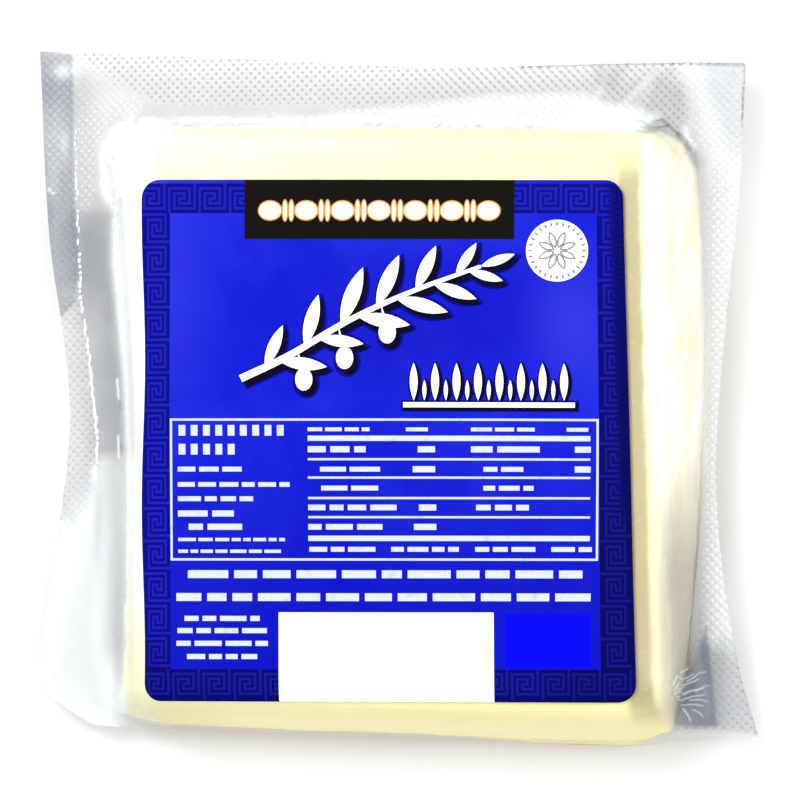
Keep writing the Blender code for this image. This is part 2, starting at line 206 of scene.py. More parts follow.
# The block's outline at its foot, in millimetres, from its top left corner to the right
CHEESE_OUTLINE = (
    (-50.4, 53.5), (-46.6, 53.9), (-38.4, 53.9), (-26.2, 53.8), (-12, 53.6), (2.1, 53.2), (22.1, 52.6),
    (41.9, 51.9), (50, 50.9), (55, 49.4), (58.2, 47.3), (59.9, 43.5), (60.9, 38), (61.6, 28), (62.2, 15),
    (62.2, 2), (61.6, -12), (60.9, -26), (60, -38), (59.3, -46), (58.5, -52.5), (58.9, -57.9), (57.4, -61),
    (56.6, -64.8), (54.4, -67), (48, -67.8), (20, -67.1), (0, -66.2), (-20, -65.9), (-40, -65.1), (-50, -64),
    (-54.2, -62.4), (-54, -58), (-53.4, -50), (-53.2, -40), (-53, -25), (-53.1, -10), (-53.4, -3), (-54, 5),
    (-54.9, 13), (-55.6, 20), (-56.4, 26), (-56.2, 31), (-55.8, 36), (-57.6, 38.5), (-58.8, 41),
    (-58.4, 43.4), (-59, 45.6), (-58.2, 49.3), (-55.6, 52.8), (-52.4, 54.2))

# Camera
AIM = Vector((3.9, -1.2, 20)) * MM
CAMERA_DISTANCE = 1.05
CAMERA_LEAN_RIGHT = math.radians(14)
CAMERA_LEAN_DOWN = math.radians(3.5)
CAMERA_ROLL = math.radians(0.5)
LENS = 249.4

# Lights: place, target, size in metres and power in watts
WORLD_LIGHT = 1.14
KEY_LIGHT = ((-0.36, 0.5, 0.95), (0, 0, 0), (0.48, 0.48), 6.2)
SIDE_LIGHT = ((0.75, 0.05, 0.62), (0.03, 0, 0.01), (0.16, 1), 3)
FLOOR_COLOUR = (0.7, 0.7, 0.7)

# Print, in millimetres on the label: across from its top left corner, and down
LABEL_CORNERS = ((-47.2, 41.1), (48.5, 39.5), (51.9, -60.2), (-46.2, -60.6))
PRINT_CORNERS = ((0, 0), (94, 0), (97, 102.55), (-0.5, 102.35))
LABEL_EDGE_SLANT = 0.029  # of the label's right edge
LABEL_WAVE = 0.35 * MM
LABEL_WAVE_LENGTH = 9 * MM

# The key border: one cell's line in sixths of it, and where the cells start and how large a sixth is
KEY_PATH = ((0, 0), (0, 5), (4, 5), (4, 2), (2, 2), (2, 3), (3, 3), (3, 4), (1, 4), (1, 1), (5, 1), (5, 6))
KEY_HALF_LINE = 0.25
KEY_TOP_ALONG = (5.3, 0.9955)
KEY_TOP_OVER = (6.63, -0.974)  # counted upwards
KEY_BOTTOM_ALONG = (5.9, 1.01)
KEY_BOTTOM_OVER = (101.8, -0.975)
KEY_COLUMN_ALONG = (6.82, 1.066)
KEY_LEFT_OVER = (0.14, 0.8725)
KEY_RIGHT_OVER = (89.3, 0.9)
BORDER_LEFT = 5.4
BORDER_TOP = 6.6
BORDER_RIGHT = 88.9
BORDER_BOTTOM = 96
TOP_STRIP = 0.8  # the strip above the border is plain
RIGHT_BORDER_SLANT = 0.0115

BLACK_BAND = (20.1, -0.5, 72.9, 11.7)  # left, top, right and bottom
WHITE_FIELD = (26.7, 84.8, 69, 103.5)
BRIGHT_PATCH = (71.1, 85.1, 88.1, 95.7)

BLUE = (0.01, 0.017, 0.5)
BLUE_DEEP = (0.003, 0.007, 0.44)
BLUE_PALE = (0.022, 0.028, 0.5)
BLUE_SHADED = (0.0008, 0.0008, 0.3)
BLUE_LOW = (0.001, 0.002, 0.34)
BLUE_BRIGHT = (0.0002, 0.0002, 0.68)
BORDER_GROUND = (0.0006, 0.0006, 0.17)
# The border in painted shade
BORDER_IN_SHADE = (0.0003, 0.0003, 0.065)
BORDER_LINE = (0.008, 0.0085, 0.31)
BAND_BLACK = (0.0035, 0.0028, 0.0018)
FIELD_WHITE = (0.86, 0.86, 0.86)

# Ink on the label, in millimetres of the print
INK_THICKNESS = 0.02 * MM
BAR_PIECE = 5
SPRIG_STEM = ((19.5, 39), (29, 34.5), (41, 27.5), (53, 22), (66.5, 17))
# Share of the stem, side, length in millimetres and spread in degrees of each leaf
SPRIG_LEAVES = (
    (0.1, -1, 9, 42), (0.16, 1, 9.5, 34), (0.27, -1, 10.5, 44), (0.33, 1, 9, 38), (0.43, -1, 12, 40),
    (0.5, 1, 10.5, 36), (0.58, -1, 11, 42), (0.66, 1, 10.5, 38), (0.74, -1, 9.5, 44), (0.81, 1, 9, 40),
    (0.9, -1, 7.5, 38), (0.95, 1, 7, 36), (1, -1, 7, 0))
SPRIG_LEAF_WIDTH = 0.26
# Share of the stem, side and distance of each olive
SPRIG_OLIVES = ((0.24, 1, 5.6), (0.42, 1, 6.2), (0.6, 1, 5.4))
FRIEZE = (51.4, 35.9, 84.8, 44.6)
FRIEZE_LEAVES = 8
FRIEZE_BAR = 1
BEADS_ACROSS = (21.6, 71.4)
BEADS_DOWN = 6.1
BEADS = 7
TABLE_FRAME = (5.7, 47, 89.2, 74.4)
TABLE_LINE = 0.45
# The rules' ends, and each one's middle and half its height
TABLE_RULES_ACROSS = (32.6, 87.8)
TABLE_RULES = ((50.65, 0.52), (54.75, 0.22), (58.35, 0.22), (62.35, 0.22), (66.1, 0.22), (70.25, 0.52))
SEAL_CENTRE = (81.3, 13.9)
SEAL_WIDTH = 12.1
SEAL_DASHES = 28
SEAL_PETALS = 8
# Blocks of the table's heading: left end, number, middle
HEADING_BLOCKS = ((7.2, 9, 49.1), (7.2, 5, 52.8))
BLOCK_PITCH, BLOCK_WIDTH, BLOCK_HEIGHT = 2.42, 1.35, 2.1
# Rows of plain bars: left and right end, middle and height
WORD_ROWS = (
    (7, 19.6, 56.7, 0.95), (7, 29, 59.7, 0.9), (7, 21.8, 62.5, 0.95), (7, 18, 65.4, 1.2),
    (9.1, 19.6, 68, 1.2), (7, 28, 70.5, 0.65), (7, 27.2, 72.8, 0.65), (32.6, 44.8, 48.9, 0.75),
    (51.9, 56.2, 48.9, 0.75), (64.6, 77, 48.9, 0.75), (83.2, 87.4, 48.9, 0.75), (32.6, 44, 52.8, 1.2),
    (54.2, 57.6, 52.8, 1.2), (64.6, 78, 52.8, 1.2), (84.8, 87.9, 52.8, 1.2), (35, 46.8, 56.7, 0.95),
    (53.2, 57.6, 56.7, 1.2), (67, 74.8, 56.7, 0.95), (84.8, 87.9, 56.7, 1.2), (35.2, 46.4, 60.4, 0.95),
    (67, 76.8, 60.4, 0.95), (32.6, 50, 64.2, 1.1), (54.4, 57.8, 64.2, 1.2), (65.6, 75.9, 64.2, 1.1),
    (32.6, 47.2, 68, 1.1), (53.4, 57.8, 68, 1.2), (32.8, 45.8, 72.4, 0.95), (48.9, 62.2, 72.4, 0.95),
    (65.4, 77.2, 72.4, 0.95), (80.3, 88.2, 72.4, 0.95), (8.9, 86.4, 77.3, 1.55), (6.6, 88, 81.8, 1.55),
    (8.2, 23, 86, 1), (6.8, 24.4, 88.4, 1), (6.6, 24.6, 90.9, 1), (8.7, 22.5, 93.5, 1))


def operator(operation, swapped=False):
    """A method that adds one Math node, for an operator of Wire."""
    def method(self, *others):
        values = (*others, self) if swapped else (self, *others)
        return self.finish.math(operation, *values)
    return method


class Wire:
    """A socket in a material's nodes. An expression on it adds the Math nodes that work it out."""

    def __init__(self, finish, socket):
        self.finish = finish
        self.socket = socket

    __add__ = __radd__ = operator("ADD")
    __sub__ = operator("SUBTRACT")
    __rsub__ = operator("SUBTRACT", swapped=True)
    __mul__ = __rmul__ = operator("MULTIPLY")
    __truediv__ = operator("DIVIDE")
    __mod__ = operator("FLOORED_MODULO")
    __pow__ = operator("POWER")
    __abs__ = operator("ABSOLUTE")


class Finish:
    """A material and the nodes that paint it, on the piece's own coordinates."""

    def __init__(self, name):
        self.material = bpy.data.materials.new(name)
        self.material.use_nodes = True
        self.tree = self.material.node_tree
        self.tree.nodes.clear()
        self.place = self.node("ShaderNodeTexCoord", output="Object")
        self.x, self.y = (self.node("ShaderNodeSeparateXYZ", {}, {0: self.place}, i) for i in range(2))

    def node(self, kind, settings=None, sockets=None, output=0):
        """Adds a node: its settings first, then the values or links of its sockets."""
        made = self.tree.nodes.new(kind)
        for name, value in (settings or {}).items():
            setattr(made, name, value)
        for key, value in (sockets or {}).items():
            if isinstance(value, Wire):
                self.tree.links.new(value.socket, made.inputs[key])
            else:
                made.inputs[key].default_value = value
        return Wire(self, made.outputs[output])

    def math(self, operation, *values):
        return self.node("ShaderNodeMath", {"operation": operation}, dict(enumerate(values)))

    def step(self, value, low, high):
        """Rises smoothly from 0 at low to 1 at high."""
        names = {"Value": value, "From Min": low, "From Max": high}
        return self.node("ShaderNodeMapRange", {"interpolation_type": "SMOOTHSTEP"}, names)

    def band(self, value, low, high, soft):
        return self.step(value, low - soft, low + soft) * self.step(value, high + soft, high - soft)

    def field(self, across, down, box, soft):
        """1 inside a box: left, top, right and bottom."""
        left, top, right, bottom = box
        return self.band(across, left, right, soft) * self.band(down, top, bottom, soft)

    def patch(self, across, down, centre, reach):
        """A soft round patch, 1 in its middle."""
        far = ((across - centre[0]) / reach[0]) ** 2 + ((down - centre[1]) / reach[1]) ** 2
        return self.math("EXPONENT", far * -1)

    def noise(self, scale, detail=3, roughness=0.5, vector=None):
        """Noise between about 0 and 1, with a scale in patches for each metre."""
        sockets = {"Vector": vector or self.place, "Scale": scale, "Detail": detail, "Roughness": roughness}
        return self.node("ShaderNodeTexNoise", {}, sockets)

    def attribute(self, name):
        """A number that the piece's mesh holds for each point."""
        return self.node("ShaderNodeAttribute", {"attribute_name": name}, output="Fac")

    def mix(self, share, first, second):
        """Colour between two colours."""
        sockets = {0: share}
        for key, colour in ((6, first), (7, second)):
            sockets[key] = colour if isinstance(colour, Wire) else (*colour, 1)
        return self.node("ShaderNodeMix", {"data_type": "RGBA"}, sockets, 2)

    def coat(self, share, colour):
        """Lays a colour over the material's colour so far."""
        self.colour = self.mix(share, self.colour, colour)

    def bump(self, height, distance, strength=1):
        return self.node("ShaderNodeBump", {}, {"Height": height, "Distance": distance, "Strength": strength})

    def principled(self, **sockets):
        named = {key.replace("_", " "): value for key, value in sockets.items()}
        for key, value in named.items():
            if key == "Base Color" and not isinstance(value, Wire):
                named[key] = (*value, 1)
        return self.node("ShaderNodeBsdfPrincipled", {}, named)

    def surface(self, shader):
        end = self.tree.nodes.new("ShaderNodeOutputMaterial")
        self.tree.links.new(shader.socket, end.inputs["Surface"])
        return self.material


def placed(name, data):
    """A new object in the scene."""
    made = bpy.data.objects.new(name, data)
    bpy.context.scene.collection.objects.link(made)
    return made


def new_piece(name, bm, *materials):
    """A piece at the origin, made from a bmesh."""
    mesh = bpy.data.meshes.new(name)
    bm.to_mesh(mesh)
    bm.free()
    mesh.shade_smooth()
    for material in materials:
        mesh.materials.append(material)
    return placed(name, mesh)


def extrude_up(bm, height):
    """Makes flat shapes solid."""
    made = bmesh.ops.extrude_face_region(bm, geom=bm.faces[:])["geom"]
    raised = [g for g in made if isinstance(g, bmesh.types.BMVert)]
    bmesh.ops.translate(bm, verts=raised, vec=(0, 0, height))


def baked(piece):
    """The piece's mesh with its modifiers applied."""
    depsgraph = bpy.context.evaluated_depsgraph_get()
    finished = bpy.data.meshes.new_from_object(piece.evaluated_get(depsgraph))
    piece.modifiers.clear()
    old, piece.data = piece.data, finished
    bpy.data.meshes.remove(old)
    return piece


def welded_copy(node):
    """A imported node's mesh with its doubles merged and its faces in fours again."""
    bm = bmesh.new()
    bm.from_mesh(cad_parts[node].data)
    bmesh.ops.remove_doubles(bm, verts=bm.verts, dist=0.001 * MM)
    bmesh.ops.join_triangles(bm, faces=bm.faces, angle_face_threshold=math.radians(40),
                             angle_shape_threshold=math.radians(180))
    return bm


def smooth_copy(name, node, levels):
    """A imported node's shape, subdivided."""
    piece = new_piece(name, welded_copy(node))
    smooth = piece.modifiers.new("smooth", "SUBSURF")
    smooth.levels = smooth.render_levels = levels
    return baked(piece)


def dress(piece, material):
    """Gives the piece one material in place of those it has."""
    piece.data.materials.clear()
    piece.data.materials.append(material)


def tree_of(piece):
    corners = [v.co for v in piece.data.vertices]
    return BVHTree.FromPolygons(corners, [f.vertices for f in piece.data.polygons])


def height_on(tree, x, y, way=DOWN):
    """Height of a surface at a place, seen from above or below. Beyond its edge, the height of the edge."""
    start = Vector((x, y, 0.05)) if way == DOWN else Vector((x, y, -0.05))
    hit = tree.ray_cast(start, way)[0]
    if hit is None:
        hit = tree.find_nearest(Vector((x, y, 0.007)))[0]
    return hit.z


# ---- Film ----

def smooth_side(points, count):
    """A Catmull-Rom curve through the points, shared out evenly by length into a number of steps."""
    knots = [Vector(p) * MM for p in points]
    knots = [knots[0] * 2 - knots[1], *knots, knots[-1] * 2 - knots[-2]]
    curve = []
    for a, b, c, d in zip(knots, knots[1:], knots[2:], knots[3:]):
        for step in range(24):
            t = step / 24
            curve.append((b * 2 + (c - a) * t + (a * 2 - b * 5 + c * 4 - d) * t**2
                          + (b * 3 - a - c * 3 + d) * t**3) / 2)
    curve.append(knots[-2])
    curve = np.array(curve)
    lengths = np.concatenate(([0], np.cumsum(np.linalg.norm(np.diff(curve, axis=0), axis=1))))
    wanted = np.linspace(0, lengths[-1], count + 1)
    return np.stack([np.interp(wanted, lengths, curve[:, i]) for i in (0, 1)], axis=1)


def flat_film():
    """Two flat sheets with the pouch's outline, joined at its edge: the front, and the back as material 1."""
    across, along = FILM_CELLS
    top, bottom = smooth_side(EDGE_TOP, across), smooth_side(EDGE_BOTTOM, across)
    left, right = smooth_side(EDGE_LEFT, along), smooth_side(EDGE_RIGHT, along)
    bm = bmesh.new()
    bmesh.ops.create_grid(bm, x_segments=across, y_segments=along, size=0.5)
    for vert in bm.verts:
        s, t = vert.co.x + 0.5, vert.co.y + 0.5
        i, j = round(s * across), round(t * along)
        point = (1 - t) * bottom[i] + t * top[i] + (1 - s) * left[j] + s * right[j]
        point -= (1 - s) * (1 - t) * bottom[0] + s * (1 - t) * bottom[-1]
        point -= (1 - s) * t * top[0] + s * t * top[-1]
        vert.co.xy = point
    copied = bmesh.ops.duplicate(bm, geom=bm.verts[:] + bm.edges[:] + bm.faces[:])["geom"]
    back = [g for g in copied if isinstance(g, bmesh.types.BMFace)]
    bmesh.ops.reverse_faces(bm, faces=back)
    for face in back:
        face.material_index = 1
    rim = [v for v in bm.verts if v.is_boundary]
    bmesh.ops.remove_doubles(bm, verts=rim, dist=0.001 * MM)
    return bm


def refine(bm, is_wanted):
    """Splits the edges of the wanted faces in two."""
    edges = {edge for face in bm.faces if is_wanted(face) for edge in face.edges}
    bmesh.ops.subdivide_edges(bm, edges=list(edges), cuts=1, use_grid_fill=True)


def in_top_left(face):
    """In the embossed film at the upper left."""
    x, y, _ = face.calc_center_median() / MM
    return x < -55 and y > 30


def in_fine_places(face):
    x, y, _ = face.calc_center_median() / MM
    at = any(left < x < right and low < y < high for (left, low), (right, high) in FINE_PLACES)
    return at and face.material_index == 0 and face.calc_area() > FINEST_FACE**2


def soft_step(values, low, high):
    """Rises smoothly from 0 at low to 1 at high, for many values."""
    share = np.clip((values - low) / (high - low), 0, 1)
    return share * share * (3 - 2 * share)


def distance_to(places, line):
    """Distance of many places from a line of points, all in millimetres."""
    nearest = np.full(len(places), 1e6)
    for a, b in zip(line, line[1:]):
        a, b = np.array(a), np.array(b)
        run = b - a
        share = np.clip(((places - a) @ run) / (run @ run), 0, 1)
        nearest = np.minimum(nearest, np.linalg.norm(places - a - share[:, None] * run, axis=1))
    return nearest


def inside(places, outline, soft):
    """1 inside an outline and 0 outside it, with a soft edge, in millimetres."""
    x, y = places[:, 0], places[:, 1]
    crossings = np.zeros(len(places), bool)
    closed = (*outline, outline[0])
    for (x0, y0), (x1, y1) in zip(closed, closed[1:]):
        if y0 != y1:
            crossings ^= ((y0 > y) != (y1 > y)) & (x < x0 + (y - y0) * (x1 - x0) / (y1 - y0))
    away = distance_to(places, closed)
    return soft_step(np.where(crossings, away, -away), -soft, soft)


def make_film(tree):
    """The clear pouch: a closed film with embossed margins, creases, and tents beside the block."""
    bm = flat_film()

    def thickness(face):
        x, y, _ = face.calc_center_median()
        return height_on(tree, x, y) - height_on(tree, x, y, UP)

    def on_front_margin(face):
        return face.material_index == 0 and (thickness(face) < TENTED + 2 * MM or in_top_left(face))

    refine(bm, lambda face: thickness(face) < SHOULDER)
    refine(bm, on_front_margin)
    for _ in range(2):
        refine(bm, in_fine_places)
    bm.verts.index_update()
    bm.edges.index_update()
    places = np.array([v.co.xy for v in bm.verts])
    tops = np.array([height_on(tree, *place) for place in places])
    bottoms = np.array([height_on(tree, *place, UP) for place in places])
    sealed = soft_step(tops - bottoms, SEALED + 0.7 * MM, SEALED)
    places = places / MM
    emboss, grey, white = film_looks(places, sealed, tops - bottoms)
    relief = film_relief(places, sealed, emboss)
    for vert in bm.verts:
        i = vert.index
        sides = {face.material_index for face in vert.link_faces}
        if len(sides) == 2:
            vert.co.z = (tops[i] + bottoms[i]) / 2 + relief[i] * RIM_RELIEF
        elif 0 in sides:
            vert.co.z = tops[i] - FILM_SHEET * sealed[i] + relief[i]
        elif bottoms[i] > 0.5 * MM:
            vert.co.z = bottoms[i] + FILM_SHEET * sealed[i] + relief[i] * sealed[i]
        else:
            vert.co.z = bottoms[i] + FOOT_GAP
    rim = [edge.index for edge in bm.edges if len({face.material_index for face in edge.link_faces}) == 2]
    film = new_piece("film", bm, film_finish("clear_film", True), film_finish("clear_film_back", False))
    for edge in rim:
        film.data.edges[edge].use_edge_sharp = True
    haze_and_painted_light = np.clip(grey + white, 0, MOST_HAZE_AND_LIGHT)
    for name, values in (("haze_and_painted_light", haze_and_painted_light), ("whiteness", white / (grey + white + 0.001)), ("emboss", emboss)):
        film.data.attributes.new(name, "FLOAT", "POINT").data.foreach_set("value", values)
    return film


def film_looks(places, sealed, thick):
    """How strongly the film is embossed at each place, and how grey and how white it looks: its own haze
    together with painted shade and painted glare.
    """
    x, y = places[:, 0], places[:, 1]
    on_top = soft_step(x, -16, -8) * (y > 45)
    emboss = np.maximum(sealed, on_top * soft_step(thick, TENTED, TENTED - 1.5 * MM))
    off_block = 1 - inside(places, CHEESE_OUTLINE, 0.5)
    grey = 0.02 + 0.03 * sealed
    edge = distance_to(places, (*CHEESE_OUTLINE, CHEESE_OUTLINE[0]))
    edge = np.where(off_block < 0.5, -edge, edge) + FRINGE_INSIDE
    reach = np.where(edge < 0, FRINGE_IN, FRINGE_OUT)
    along_top = soft_step(y, 45, 50.5) * soft_step(-x, -55, -47)
    # Painted white glare along the block's left and top edges
    edge_glare = np.exp(-((edge / reach) ** 2)) * np.clip(soft_step(-x, 40, 50) + along_top, 0, 1)
    edge_glare *= 0.45 + 0.55 * soft_step(y, -14, -8)
    ragged = np.array([noise.fractal(Vector((a * 0.9, b * 0.9, 1)), 0.7, 2, 3) for a, b in places])
    ragged *= 0.1 + 0.4 * soft_step(y, 28, 42)
    white = edge_glare * np.clip(0.62 + ragged, 0, 0.9)
    for outline, soft, greyer, whiter, embossed in AREAS:
        share = inside(places, outline, soft)
        if embossed is not None:
            emboss += (embossed - emboss) * share
        grey += greyer * share
        white += whiter * share
    for (at_x, at_y), (wide, tall), greyer, whiter in SPOTS:
        share = np.exp(-((x - at_x) / wide) ** 2 - ((y - at_y) / tall) ** 2)
        grey += greyer * share
        white += whiter * share
    clouds = np.array([noise.fractal(Vector((a * 0.07, b * 0.07, 4)), 0.8, 2, 3) for a, b in places])
    grey = np.clip(grey * off_block * (1 + 0.35 * clouds), 0, 1)
    for line, width, _, greyer, whiter in CREASES:
        share = np.exp(-((distance_to(places, line) / width) ** 2))
        grey += greyer * share
        white += whiter * share
    return emboss, np.clip(grey, 0, 1), np.clip(white, 0, 1)


def film_relief(places, sealed, emboss):
    """Heights to add to the film: diamonds and soft waves on the margins, and creases everywhere."""
    turn = 2 * math.pi / DIAMOND_PITCH * MM
    diamonds = np.cos(places[:, 0] * turn) * np.cos(places[:, 1] * turn)
    waves = np.array([noise.noise(Vector((x * 0.09, y * 0.09, 0.3))) for x, y in places])
    relief = DIAMOND_HEIGHT * diamonds * emboss + WAVE_HEIGHT * waves * (0.2 + 0.8 * sealed)
    for line, width, height, _, _ in CREASES:
        relief += height * MM * np.exp(-((distance_to(places, line) / width) ** 2))
    return relief


def film_finish(name, front):
    """Clear glossy film, milky in places, with painted shade in its grey haze and painted glare in its white
    haze, and a net of small grey diamonds, painted shade in the embossed dimples of the sealed margins.
    """
    paint = Finish(name)
    turn = 2 * math.pi / DIAMOND_PITCH
    rising = paint.math("COSINE", (paint.x + paint.y) * turn)
    falling = paint.math("COSINE", (paint.x - paint.y) * turn)
    haze_and_painted_light, whiteness, emboss = (paint.attribute(key) for key in ("haze_and_painted_light", "whiteness", "emboss"))
    slanted = paint.band(paint.x, 5 * MM, 55 * MM, 10 * MM) * paint.step(paint.y, -10 * MM, 40 * MM)
    lean = slanted * 0.26  # the diamonds run into slanting lines there
    waves = rising * (0.5 + lean) + falling * (0.5 - lean)
    # Painted shade in the dimples of the embossed net
    net = paint.step(waves, NET_LOW, NET_HIGH) * emboss
    share = haze_and_painted_light + net * (1 - haze_and_painted_light) * NET_TONE if front else haze_and_painted_light * BACK_HAZE_AND_LIGHT
    bumps = paint.bump((rising + falling) * emboss, 0.05 * MM)
    colour = paint.mix(whiteness, FILM_GREY, FILM_WHITE)
    haze_and_light_shader = paint.principled(Base_Color=colour, Roughness=0.35, Normal=bumps)
    clear = paint.node("ShaderNodeBsdfTransparent", {}, {"Color": (1, 1, 1, 1)})
    shine = {"Color": (1, 1, 1, 1), "Roughness": 0.28, "Normal": bumps}
    gloss = paint.node("ShaderNodeBsdfGlossy", {}, shine)
    mirror = paint.node("ShaderNodeFresnel", {}, {"IOR": FILM_IOR, "Normal": bumps})
    sheet = paint.node("ShaderNodeMixShader", {}, {0: mirror, 1: clear, 2: gloss})
    return paint.surface(paint.node("ShaderNodeMixShader", {}, {0: share, 1: sheet, 2: haze_and_light_shader}))


def make_seam():
    """The bright line of small knots where the film is pinched."""
    bm = bmesh.new()
    dice = random.Random(5)
    curve = smooth_side(SEAM, SEAM_KNOTS)
    for i, (x, y) in enumerate(curve):
        if dice.random() < 0.08:
            continue
        knot = bmesh.ops.create_icosphere(bm, subdivisions=2, radius=0.5)["verts"]
        size = min(1, 0.55 + i / SEAM_KNOTS)
        wide, tall = dice.uniform(0.35, 0.8) * size * MM, dice.uniform(0.6, 2.2) * size * MM
        aside = dice.uniform(-0.18, 0.18) * MM
        height = height_on(surface_tree, x, y) + 0.02 * MM
        for vert in knot:
            vert.co = (x + aside + vert.co.x * wide, y + vert.co.y * tall, height + vert.co.z * 0.3 * MM)
    return new_piece("seam", bm, seam_finish())


def seam_finish():
    """Whitened, pinched film."""
    paint = Finish("pinched_film")
    frost = paint.step(paint.noise(900, 2), 0.35, 0.65)
    colour = paint.mix(frost, (0.7, 0.74, 0.76), (0.9, 0.92, 0.92))
    return paint.surface(paint.principled(Base_Color=colour, Roughness=0.3))


# ---- Cheese ----

def make_cheese():
    """The block: the pouch's body without its margins, a little inside the film."""
    cheese = smooth_copy("cheese", "pouch", RENDER_LEVELS)
    move_out(cheese.data, lambda places: -CHEESE_GAP)
    cutter = make_cutter()
    remeshed(cheese)
    trim = cheese.modifiers.new("trim", "BOOLEAN")
    trim.operation, trim.solver, trim.object = "INTERSECT", "EXACT", cutter
    remeshed(cheese)
    soften = cheese.modifiers.new("soften", "SMOOTH")
    soften.factor, soften.iterations = 0.5, 6
    baked(cheese)
    bpy.data.objects.remove(cutter)
    move_out(cheese.data, crumb)
    cheese.data.shade_smooth()
    dress(cheese, cheese_finish())
    return cheese


def remeshed(piece):
    """Adds an even mesh of the cheese's grain."""
    grain = piece.modifiers.new("grain", "REMESH")
    grain.mode, grain.voxel_size = "VOXEL", CHEESE_GRAIN


def make_cutter():
    """A tall block with the cheese's outline."""
    bm = bmesh.new()
    outline = smooth_side((*CHEESE_OUTLINE, CHEESE_OUTLINE[0]), 400)[:-1]
    ring = bmesh.ops.create_circle(bm, cap_ends=True, segments=len(outline), radius=1)["verts"]
    for vert, (x, y) in zip(ring, outline):
        raggedness = (0.5 if x < -0.045 else 0.25) * MM
        ragged = noise.fractal(Vector((x * 420, y * 420, 2)), 0.8, 2, 2) * raggedness
        vert.co = (x + ragged, y + ragged, -0.01)
    extrude_up(bm, 0.05)
    bmesh.ops.recalc_face_normals(bm, faces=bm.faces)
    return new_piece("cutter", bm)


def move_out(mesh, lifts_at):
    """Moves a mesh's points along its normals, by what lifts_at gives for their places."""
    places = np.zeros(len(mesh.vertices) * 3)
    mesh.vertices.foreach_get("co", places)
    places = places.reshape(-1, 3)
    ways = np.array([v.vector for v in mesh.vertex_normals])
    places += ways * lifts_at(places)
    mesh.vertices.foreach_set("co", places.ravel())
    mesh.update()


def crumb(places):
    """Soft dents and a fine grain, everywhere but on the block's foot."""
    lifts = np.array([noise.fractal(Vector(p) * 160, 0.9, 2.1, 3) * 0.1 + noise.noise(Vector(p) * 900) * 0.05
                      for p in places])
    return (lifts * MM * (places[:, 2] > 0.9 * MM))[:, None]


def cheese_finish():
    """Creamy fresh cheese, yellow along the top and bottom, with painted glare white at its left and along
    its top edge, a painted highlight on its right shoulder and a band of painted shade beside the label.
    """
    paint = Finish("fresh_white_cheese")
    x, y = paint.x / MM, paint.y / MM
    clouds = paint.noise(45, 4, 0.55)
    streaks = paint.noise(160, 3, 0.6)
    cream = (0.92, 0.86, 0.44)
    pale = (0.93, 0.92, 0.58)
    white = (0.95, 0.96, 0.92)
    # Paler towards the lit left: painted light
    paint.colour = paint.mix(paint.step(x + clouds * 20, 40, -60), cream, pale)
    low = paint.mix(paint.step(x, -20, -48), (0.99, 0.93, 0.57), (0.84, 0.76, 0.38))
    paint.coat(paint.step(y + clouds * 3, -58, -63) * 0.75, low)
    # Painted glare along the block's top edge
    paint.coat(paint.step(y + clouds * 4, 52, 55.5) * 0.85, white)
    # Painted glare at the block's left
    left_glare = paint.step(x + clouds * 6, -41, -45.5) * paint.step(y, -58, -30)
    paint.coat(left_glare, white)
    from_label = x + y * LABEL_EDGE_SLANT
    # Painted shade: a darker beige band between the label's edge and the right shoulder
    shaded_band = paint.band(from_label, 48.4, 53.1, 0.9) * paint.step(y, -66, -58)
    shaded_band = shaded_band * paint.step(y, 48, 38)
    paint.coat(shaded_band * 0.9, (0.43, 0.38, 0.215))
    wall = paint.step(from_label, 52.4, 56.4)
    stretched = paint.node("ShaderNodeCombineXYZ", {}, {"X": x * 0.9, "Y": y * 0.07, "Z": 0})
    folds = paint.step(paint.noise(1, 3, 0.6, vector=stretched), 0.4, 0.62)
    paint.coat(wall, paint.mix(folds, (0.86, 0.81, 0.61), (0.91, 0.9, 0.8)))
    lower_wall = wall * paint.step(y + clouds * 10, -2, -32)
    paint.coat(lower_wall * 0.95, (0.46, 0.43, 0.355))
    # Painted highlight along the right shoulder, streaked by the film's folds
    shine = paint.band(from_label + streaks * 3, 54.4, 57.6, 1.2)
    shine = shine * paint.step(y + streaks * 4, -62, -52)
    shine = shine * (0.55 + folds * 0.45) * (0.3 + paint.step(y, -30, 0) * 0.7)
    paint.coat(shine, (0.94, 0.94, 0.76))
    blush = paint.patch(x, y, (57, 46.5), (1, 3)) + paint.patch(x, y, (56.8, 23), (1, 6))
    paint.coat(blush * streaks * 0.7, (0.8, 0.66, 0.52))
    grain = paint.noise(700, 4, 0.6)
    paint.coat(paint.step(grain, 0.55, 0.85) * 0.25, (0.95, 0.94, 0.88))
    bumps = paint.bump(grain, 0.12 * MM, 0.6)
    shader = paint.principled(Base_Color=paint.colour, Roughness=0.45, Normal=bumps)
    return paint.surface(shader)


# ---- Label ----

def plane_map(corners_from, corners_to):
    """The eight numbers that carry one set of four corners to the other, and all between them."""
    rows, wanted = [], []
    for (x, y), (u, v) in zip(corners_from, corners_to):
        rows.append((x, y, 1, 0, 0, 0, -u * x, -u * y))
        rows.append((0, 0, 0, x, y, 1, -v * x, -v * y))
        wanted.extend((u, v))
    return [float(n) for n in np.linalg.solve(np.array(rows, float), np.array(wanted, float))]


def carried(numbers, x, y):
    """A place carried by a plane map. Works on numbers and on wires."""
    a, b, c, d, e, f, g, h = numbers
    below = x * g + y * h + 1
    return (x * a + y * b + c) / below, (x * d + y * e + f) / below


